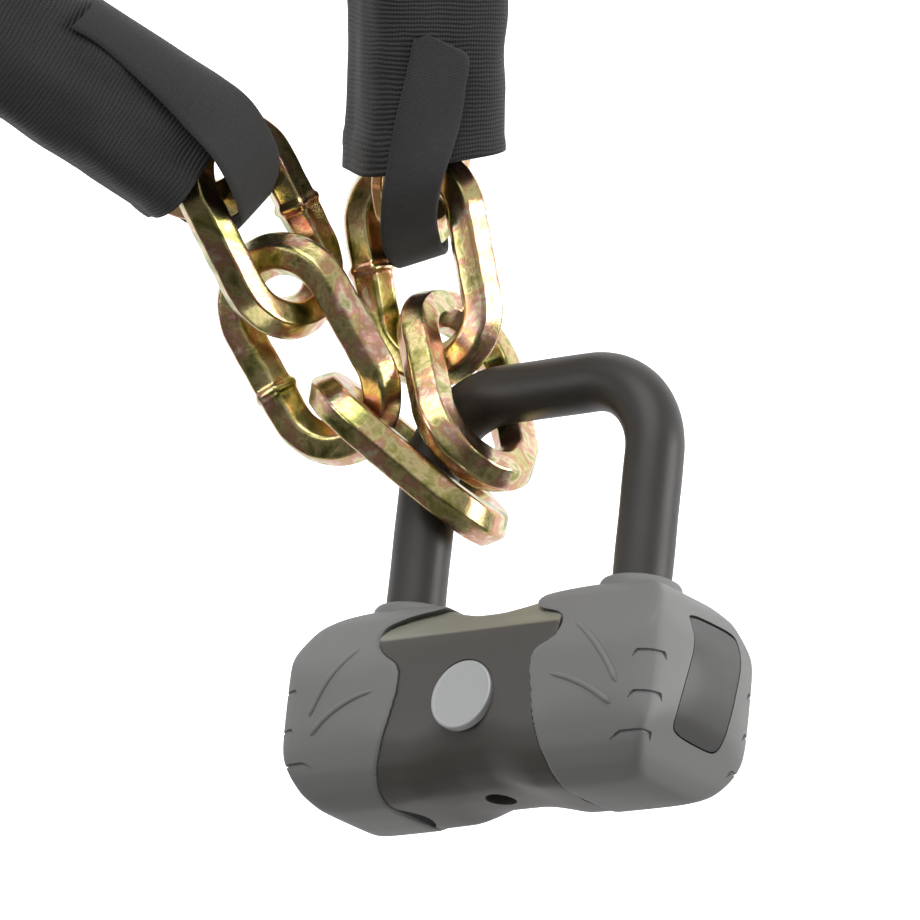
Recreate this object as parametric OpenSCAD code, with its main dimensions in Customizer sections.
// Heavy chain lock: a waisted padlock body on a round steel shackle, closing a loop of
// square-shouldered hexagonal chain that runs inside a woven fabric sleeve.
// Frame: millimetres, +Z up along the shackle legs, X along the lock body, front face -Y.
// Origin: midway between the shackle legs, level with z = 0 just above the leg collars.

/* [Lock body] */
// Length of the lock body
body_len = 114; // [104:1:124]
// Depth of the lock body, front to back
body_dep = 44; // [42:1:48]
// Thickness of the outer covers
cover_t = 3.2; // [2.8:0.1:3.4]
// Distance from the middle to each shackle leg
leg_x = 33; // [32:0.5:34]
// Outside radius of the collar round each leg
collar_r = 9.8; // [9.5:0.1:11]

/* [Shackle] */
// Radius of the bare steel bow
steel_r = 6.5; // [6:0.1:6.6]
// Outside radius of the coated bow
coat_r = 7; // [6.8:0.1:7.2]
// Centre-line radius of the bow's two corners
bow_r = 20; // [18:0.5:22]
// Height of the bow's centre line above the origin
bow_z = 49.3; // [48:0.1:56]
// Depth of the legs below the origin
leg_dep = 22; // [20.5:0.5:22]

/* [Lock works] */
// Height of the cylinder's axis
cyl_z = -31; // [-32:0.5:-30]
// Outside radius of the cylinder housing
housing_r = 8.5; // [8.2:0.1:8.8]
// Radius of the turning plug
plug_r = 7; // [6.8:0.1:7]
// Radius at which the cam pin drives the bolt carriage
cam_r = 3; // [2.6:0.1:3]
// Half of the plug's turn
half_turn = 45; // [45:1:45]
// Number of detainer discs
discs = 9; // [7:1:9]

/* [Chain] */
// Width between the centre lines of a link's two bars
link_w = 27; // [26:0.5:28]
// Inside length of a link
link_p = 38; // [37:0.5:39]
// Corner radius of the hexagonal bar
bar_r = 5.31; // [5:0.05:5.4]
// Spacing of the links inside the sleeve
pitch = 37.4; // [36.6:0.1:37.6]
// Number of whole steps between the two links at the sleeve's mouths
steps = 22; // [20:2:26]
// Place of the upper left link
left_upper_pos = [-59.2, -42.1, 84.4];
// Turn of the upper left link
left_upper_rot = [-92.2, -41.4, 78.5];
// Place of the middle left link
left_middle_pos = [-53.9, -24.6, 57.6];
// Turn of the middle left link
left_middle_rot = [-58.3, -21, -3.5];
// Place of the lower left link, round the shackle's left leg
left_lower_pos = [-36.5, -4.4, 34.7];
// Turn of the lower left link
left_lower_rot = [-144.1, -22.2, 122.2];
// Place of the upper right link
right_upper_pos = [-34.7, -9, 81.5];
// Turn of the upper right link
right_upper_rot = [-71.8, -9, 9.9];
// Place of the lower right link, round the shackle's bow
right_lower_pos = [-24.6, 0.2, 51.9];
// Turn of the lower right link
right_lower_rot = [-116.3, 4.2, 78.8];

/* [Sleeve] */
// Place where the lines of the sleeve's two legs meet
loop_pos = [-39, -4.8, 74.8];
// Turn of the sleeve's plane
loop_rot = [-121.8, -44.7, -99.4];
// Half of the angle between the sleeve's two legs
loop_half = 29.5; // [29:0.5:30]
// Distance from the meeting point to the left mouth
mouth_l = 68.5; // [66:0.5:72]
// Distance from the meeting point to the right mouth
mouth_r = 34.5; // [33:0.5:38]
// Distance from the meeting point to the end of the left sleeved link
seat_l = 51; // [51:0.5:52]
// Distance from the meeting point to the end of the right sleeved link
seat_r = 16.2; // [16:0.2:17]
// Half width of the sleeve's inside across its flats
sleeve_a = 17.7; // [17.6:0.1:18.2]
// Half width of the sleeve's inside across its chamfers
sleeve_d = 19.9; // [19.8:0.1:20.4]
// Thickness of the sleeve's cloth
cloth_t = 1; // [0.8:0.1:1.3]
// Width of the webbing straps
strap_w = 14.5; // [13:0.5:14.5]
// Thickness of the webbing straps
strap_t = 1.3; // [1:0.1:1.5]

/* [Hidden] */
$fn = 48;

// Body: half sizes and middle height about which it is inset
half_x = body_len / 2 + 0.2;
half_y = body_dep / 2 + 0.2;
half_z = 26.2;
mid_z = -30;
core_gap = 0.25;
waist_gap = 0.08;
collar_z = -2.7;
fit = 0.1; // radial clearance
badge_r = 9;
badge_z = -32.5;
// Leg seals
seal_r = 9;
seal_z0 = -9.9;
seal_z1 = -6.9;
// Retaining pin, upright below the cylinder
pin_y = -2;
pin_r = 2.5;
pin_mouth_r = 3.75;
// Bolts and the carriage between them
bolt_y = -12;
bolt_z0 = -19.2;
bolt_z1 = -13.6;
cam_y = -cam_r * sin(half_turn);
// Detainer discs along the cylinder
disc_x = 8;
disc_t = 1.8;
disc_pitch = 3.6;
spacer_t = 1.2;
// Keyway cover's hinge
hinge_x = 50.8;
hinge_z = -15.2;
// Link: half width, half length of the straight bars, half length to the end centre line
link_r = link_w / 2;
link_end = link_p / 2 + bar_r;
bar_half = link_end - link_r;
// Sleeve loop: two straight legs tangent to a bend, which the chain's length sizes
path_l = seat_l + link_end;
path_r = seat_r + link_end;
bend_turn = 180 + 2 * loop_half;
loop_r = (steps * pitch + path_l + path_r) / (2 / tan(loop_half) + bend_turn * PI / 180);
bend_len = bend_turn * PI / 180 * loop_r;
tangent = loop_r / tan(loop_half);
bend_x = loop_r / sin(loop_half);
bend_shift = 0.7; // how far the links sit inside the bend's middle line

// ---- Shared shapes
module block(low, high) translate(low) cube(high - low);
module along_x(radius, x0, x1, z = cyl_z, y = 0)
  translate([x0, y, z]) rotate([0, 90, 0]) cylinder(r = radius, h = x1 - x0);
// block centred on y = 0, its heights measured from the cylinder's axis
module axis_block(x0, x1, half_w, z0, z1)
  block([x0, -half_w, cyl_z + z0], [x1, half_w, cyl_z + z1]);
module on_leg(side, radius, z0, z1)
  translate([side * leg_x, 0, z0]) cylinder(r = radius, h = z1 - z0);
module legs(radius, z0, z1) for (side = [-1, 1]) on_leg(side, radius, z0, z1);
module on_pin(radius, z0, height) translate([0, pin_y, z0]) cylinder(r = radius, h = height);
module on_hinge(radius, half_len)
  translate([hinge_x, half_len, hinge_z]) rotate([90, 0, 0]) cylinder(r = radius, h = 2 * half_len);

// ---- Body outlines, closed by mirroring and smoothed by one round of corner cutting
function cut_corners(points) = [for (i = [0 : len(points) - 1])
  let (here = points[i], next = points[(i + 1) % len(points)])
  each [here * 0.75 + next * 0.25, here * 0.25 + next * 0.75]];
function backward(points) = [for (i = [len(points) - 1 : -1 : 0]) points[i]];
function with_mirror(points) = concat(points, backward([for (p = points) [-p[0], p[1]]]));
// [x, z] of the front outline, right half, top to bottom
front_half = [
  [4, -10], [10, -8.4], [17, -5.6], [26, -4.3], [38, -4.3], [45.6, -6.3], [50, -10],
  [52.4, -15], [55.4, -20.6], [57.2, -26], [57.2, -32], [55, -39], [52, -44.6], [49.4, -50],
  [46.6, -53.4], [42, -55], [36, -55.4], [30, -55], [21, -54], [12, -52.4], [4, -51.6]];
// [x, y] of the plan outline, right back quarter
plan_quarter = [
  [6, 20.7], [16, 20.9], [24, 21.6], [30, 22.2], [45, 22.2], [52.9, 19.6], [55.6, 14], [57.2, 5]];
plan_half = concat(plan_quarter, backward([for (p = plan_quarter) [p[0], -p[1]]]));
// [y, z] of the end outline, back half, top to bottom
end_half = [
  [3, -3.8], [9, -4.6], [14, -8.8], [17.4, -14.4], [20.4, -19.8], [22.4, -25.4], [22.4, -35],
  [20.8, -41], [18.4, -47], [15.2, -51.4], [10.4, -54.2], [3, -55.2]];
// [x, z] of the centre cover's edge, right half, top to bottom
waist_half = [
  [18, 2], [18, -9.3], [21.5, -11], [24.6, -12.4], [26.1, -13.9], [26.4, -16.2],
  [25.4, -19.2], [24, -20.8], [21.4, -22.3], [19.6, -24], [19, -27.8], [20.2, -33.7],
  [21.3, -39.4], [22.7, -44.5], [24.3, -48], [25.4, -51], [26, -54], [26.4, -62]];

// whole outline, scaled across, and up about the height mid
module outline(half, scale_across, scale_up, mid)
  polygon([for (p = cut_corners(with_mirror(half)))
    [p[0] * scale_across, mid + (p[1] - mid) * scale_up]]);
module body_form(inset) {
  scale_x = (half_x - inset) / half_x;
  scale_y = (half_y - inset) / half_y;
  scale_z = (half_z - inset) / half_z;
  intersection() {
    rotate([90, 0, 0]) linear_extrude(60, center = true)
      outline(front_half, scale_x, scale_z, mid_z);
    translate([0, 0, -60]) linear_extrude(60) outline(plan_half, scale_x, scale_y, 0);
    rotate([90, 0, 90]) linear_extrude(130, center = true)
      outline(end_half, scale_y, scale_z, mid_z);
  }
}
module shell() difference() {
  body_form(0);
  body_form(cover_t);
}
module waist_block(grow) rotate([90, 0, 0]) linear_extrude(60, center = true)
  polygon([for (p = with_mirror(waist_half)) [p[0] + (p[0] > 0 ? grow : -grow), p[1]]]);

// ---- Lock body
// screws enter from the back face
module screw_places() for (side = [-1, 1], z = [-19, -43])
  translate([side * 47, 24, z]) rotate([90, 0, 0]) children();
module screw_holes() screw_places() {
  cylinder(r = 1.7, h = 17);
  cylinder(r = 3.1, h = 5.4);
}
// flap of the keyway cover and its thicker upper edge, or with a gap the recess for them
module flap(x_flap, x_edge, x_out, top, gap = 0)
  for (part = [[x_flap, -43.4], [x_edge, -20]])
    block([part[0], -9 - gap, part[1] - gap], [x_out, 9 + gap, top]);
module flap_recess(x_flap, x_edge) flap(x_flap, x_edge, 64, hinge_z + 2, 0.4);

module lock_core() color([0.45, 0.46, 0.48]) difference() {
  body_form(cover_t + core_gap);
  legs(steel_r + fit, -leg_dep - 2, 5);
  legs(seal_r + fit, seal_z0 - 0.1, 5);
  along_x(housing_r + fit, -13.4, 70);
  // channels for the bolts and for the carriage's arm
  block([-40.4, bolt_y - 0.6, bolt_z0 - 1], [40.4, -2.2, bolt_z1 + 1.4]);
  block([-13.4, bolt_y - 0.6, -36], [-8.8, 9, bolt_z1 + 1.4]);
  flap_recess(51.6, 49);
  on_pin(pin_mouth_r, -60, 15);
  on_pin(pin_r + 0.05, -50, 20);
  screw_holes();
}
module centre_cover() color([0.30, 0.29, 0.27]) difference() {
  intersection() {
    shell();
    waist_block(-waist_gap);
  }
  legs(collar_r + fit, -60, 5);
  on_pin(pin_mouth_r, -60, 15);
  translate([0, -19.4, badge_z]) rotate([90, 0, 0]) cylinder(r = badge_r + fit, h = 5);
}
module bumper(side) difference() {
  union() {
    difference() {
      shell();
      waist_block(waist_gap);
    }
    on_leg(side, collar_r, -8, collar_z);
  }
  // clears the other half of the body
  translate([side > 0 ? -90 : 0, -40, -80]) cube([90, 80, 90]);
  body_form(cover_t);
  on_leg(side, coat_r + fit, -30, 10);
  on_leg(side, seal_r + fit, -30, seal_z1 + 0.1);
  screw_holes();
  if (side > 0) {
    flap_recess(50.5, 48.9);
    on_hinge(1.02, 11.4);
  }
}
module left_bumper() color([0.44, 0.45, 0.46]) bumper(-1);
module right_bumper() color([0.44, 0.45, 0.46]) bumper(1);
// domed disc on the front; profile is [radius, height]
module badge() color([0.80, 0.80, 0.82]) translate([0, -19.45, badge_z]) rotate([90, 0, 0])
  rotate_extrude() polygon([[0, 0], [badge_r, 0], [badge_r, 0.9], [8.6, 1.3],
    [6, 1.65], [3, 1.82], [0, 1.9]]);
module leg_seals() color([0.10, 0.10, 0.10]) for (side = [-1, 1]) difference() {
  on_leg(side, seal_r, seal_z0, seal_z1);
  on_leg(side, steel_r + fit, seal_z0 - 1, seal_z1 + 2);
}
module cover_screws() color([0.62, 0.62, 0.62]) screw_places() difference() {
  union() {
    translate([0, 0, 5]) cylinder(r = 1.6, h = 10);
    translate([0, 0, 3.8]) cylinder(r = 3, h = 1.5);
  }
  translate([0, 0, 3.3]) cylinder(r = 1.2, h = 1.6, $fn = 6);
}

// ---- Cylinder and bolts
module cylinder_housing() color([0.72, 0.60, 0.32]) difference() {
  along_x(housing_r, -4, 50.2);
  along_x(plug_r + 0.05, -5, 52);
  on_pin(pin_r + fit, -45, 7.3);
  axis_block(6, 40, 1.1, 4, housing_r - 0.5); // sidebar groove
}
module drill_guard() color([0.55, 0.56, 0.58]) difference() {
  along_x(housing_r - 0.02, 50.25, 51.5);
  axis_block(50, 54, 1.4, -4.5, 4.5);
}
module retaining_pin() color([0.75, 0.75, 0.76]) difference() {
  on_pin(pin_r, -48.2, 9.6);
  on_pin(1.3, -48.6, 2.2, $fn = 6);
}
module cylinder_plug() color([0.80, 0.68, 0.38]) difference() {
  along_x(plug_r, -3, 49.9);
  along_x(5.7, 4, 46);
  axis_block(7, 39, 0.95, 4, plug_r + 1); // sidebar slot
  axis_block(44, 52, 1.2, -4.2, 4.2); // keyway
}
// each disc's rim notch is turned 14 degrees on from the last
module detainer_discs() color([0.78, 0.72, 0.5]) for (i = [0 : discs - 1]) difference() {
  along_x(5.6, disc_x + i * disc_pitch, disc_x + disc_t + i * disc_pitch);
  axis_block(4, 46, 1.1, -3.6, 3.6);
  translate([4, 0, cyl_z]) rotate([(i - 4) * 14, 0, 0]) block([0, -0.8, 4.8], [42, 0.8, 6]);
}
module disc_spacers() color([0.6, 0.6, 0.6]) for (i = [0 : discs - 2]) {
  x0 = disc_x + disc_t + 0.3 + i * disc_pitch;
  difference() {
    along_x(5.4, x0, x0 + spacer_t);
    along_x(3.9, x0 - 1.1, x0 + spacer_t + 0.7);
  }
}
module sidebar() color([0.5, 0.5, 0.5]) axis_block(7.4, 38.6, 0.85, 5.75, 6.95);
module locking_cam() color([0.6, 0.61, 0.63]) union() {
  along_x(6.6, -8.2, -4.8);
  along_x(3, -4.9, -3.05);
  along_x(1.5, -12.9, -7.9, cyl_z + cam_r * cos(half_turn), cam_y);
}
// cross bar and arm, with a round-ended slot for the cam pin
module bolt_carriage() color([0.55, 0.56, 0.58]) difference() {
  union() {
    block([-29, bolt_y, bolt_z0], [29, -8.2, bolt_z1]);
    block([-12.2, bolt_y, -34.4], [-9, 3.2, bolt_z1]);
  }
  block([-13.4, cam_y - 1.75, cyl_z + 1.6], [-8, cam_y + 1.75, cyl_z + 3.6]);
  for (z = [1.6, 3.6]) along_x(1.75, -13.4, -7.4, cyl_z + z, cam_y);
}
module locking_bolts() color([0.7, 0.7, 0.72]) for (x0 = [-39.6, 29.05])
  block([x0, bolt_y, bolt_z0], [x0 + 10.55, -7, bolt_z1]);

// ---- Dust cover over the keyway
module keyway_cover() color([0.16, 0.16, 0.17]) difference() {
  union() {
    intersection() {
      flap(51.8, 50.6, 60, hinge_z);
      body_form(0.5);
    }
    on_hinge(1.6, 9);
  }
  on_hinge(1.05, 30);
}
module cover_hinge_pin() color([0.7, 0.7, 0.7]) on_hinge(1, 11.2);

// ---- Shackle
module bow(radius, z0) {
  corner_x = leg_x - bow_r;
  legs(radius, z0, bow_z - bow_r);
  for (side = [-1, 1])
    translate([side * corner_x, 0, bow_z - bow_r]) rotate([90, 0, 0])
      rotate([0, 0, side > 0 ? 0 : 90])
        rotate_extrude(angle = 90) translate([bow_r, 0]) circle(r = radius);
  along_x(radius, -corner_x, corner_x, bow_z);
}
// steel bow with a notch for a bolt in the front of each leg
module shackle() color([0.66, 0.67, 0.69]) difference() {
  bow(steel_r, -leg_dep);
  for (x = [-leg_x, leg_x]) block([x - 9, -9, bolt_z0 - 0.7], [x + 9, -2.5, bolt_z1 + 0.7]);
}
module shackle_coating() color([0.07, 0.07, 0.07]) difference() {
  bow(coat_r, -6.6);
  bow(steel_r, -9);
}

// ---- Chain
// one link, long in y, lying in the xy plane
module link() for (side = [-1, 1]) {
  translate([side * link_r, bar_half, 0]) rotate([90, 0, 0])
    cylinder(r = bar_r, h = 2 * bar_half, $fn = 6);
  rotate([0, 0, side > 0 ? 0 : 180]) translate([0, bar_half, 0])
    rotate_extrude(angle = 180) translate([link_r, 0]) circle(r = bar_r, $fn = 6);
}
module zinc() color([0.72, 0.62, 0.30]) children();
module free_link(place, turn) zinc() translate(place) rotate(turn) link();
module link_left_upper() free_link(left_upper_pos, left_upper_rot);
module link_left_middle() free_link(left_middle_pos, left_middle_rot);
module link_left_lower() free_link(left_lower_pos, left_lower_rot);
module link_right_upper() free_link(right_upper_pos, right_upper_rot);
module link_right_lower() free_link(right_lower_pos, right_lower_rot);

// the loop's own frame: origin where the legs' lines meet, x towards the bend
module in_loop() translate(loop_pos) rotate(loop_rot) children();
module rolled(roll) rotate([roll, 0, 0]) rotate([0, 0, 90]) link();
// link a number of pitches along the sleeve's middle line from the left mouth link
module sleeved(step) {
  roll = step % 2 == 0 ? -45 : 45;
  path = step * pitch + path_l;
  bend = path - tangent; // distance past the start of the bend
  if (bend <= 0)
    rotate([0, 0, loop_half]) translate([path, 0, 0]) rolled(roll);
  else if (bend < bend_len)
    translate([bend_x, 0, 0]) rotate([0, 0, 90 + loop_half - bend / loop_r * 180 / PI])
      translate([loop_r - bend_shift, 0, 0]) rotate([0, 0, -90]) rolled(roll);
  else
    rotate([0, 0, -loop_half]) translate([tangent - (bend - bend_len), 0, 0])
      rotate([0, 0, 180]) rolled(roll);
}
module mouth_link_left() zinc() in_loop() sleeved(0);
module mouth_link_right() zinc() in_loop() sleeved(steps);
module sleeved_links() zinc() in_loop() for (i = [1 : steps - 1]) sleeved(i);

// ---- Sleeve and straps
// chamfered square section, grown by a wall thickness
module section(grow) {
  flat = sleeve_a + grow;
  edge = (sleeve_d + grow) * sqrt(2) - flat; // half length of each flat
  polygon([[flat, edge], [edge, flat], [-edge, flat], [-flat, edge],
    [-flat, -edge], [-edge, -flat], [edge, -flat], [flat, -edge]]);
}
module leg_tube(side, start, grow)
  rotate([0, 0, side * loop_half]) translate([start, 0, 0]) rotate([0, 90, 0])
    linear_extrude(tangent - start + 0.01) section(grow);
// extend lengthens the tube past both mouths
module tube(grow, extend) {
  leg_tube(1, mouth_l - extend, grow);
  leg_tube(-1, mouth_r - extend, grow);
  translate([bend_x, 0, 0]) rotate([0, 0, -90 - loop_half])
    rotate_extrude(angle = bend_turn, $fn = 96) translate([loop_r, 0]) section(grow);
}
module sleeve() color([0.06, 0.06, 0.07]) in_loop() difference() {
  tube(cloth_t, 0);
  tube(0, 1);
}
// webbing: a run outside the sleeve, a rounded turn, and a run back through the link's eye
module webbing(run = 52, top = 23.2, bottom = -12, turn_r = 4) {
  block([turn_r, -strap_w / 2, top - strap_t], [run, strap_w / 2, top]);
  block([0, -strap_w / 2, bottom], [strap_t, strap_w / 2, top - turn_r]);
  translate([turn_r, strap_w / 2, top - turn_r]) rotate([90, 0, 0]) rotate([0, 0, 90])
    rotate_extrude(angle = 90) translate([turn_r - strap_t, 0]) square([strap_t, strap_w]);
}
module strap(side, start, skew, shift) color([0.10, 0.10, 0.11]) in_loop()
  rotate([0, 0, side * loop_half]) translate([start, 0, 0]) rotate([side * 20, 0, 0])
    rotate([0, 0, skew]) translate([0, shift, 0]) webbing();
module strap_left() strap(side = 1, start = 43.6, skew = -15, shift = 3);
module strap_right() strap(side = -1, start = 8, skew = 20, shift = -2);

sleeve();
strap_left();
strap_right();
sleeved_links();
mouth_link_left();
mouth_link_right();
link_left_upper();
link_left_middle();
link_left_lower();
link_right_upper();
link_right_lower();
shackle();
shackle_coating();
lock_core();
centre_cover();
left_bumper();
right_bumper();
badge();
leg_seals();
cylinder_housing();
drill_guard();
retaining_pin();
cover_screws();
cylinder_plug();
detainer_discs();
disc_spacers();
sidebar();
locking_cam();
bolt_carriage();
locking_bolts();
keyway_cover();
cover_hinge_pin();
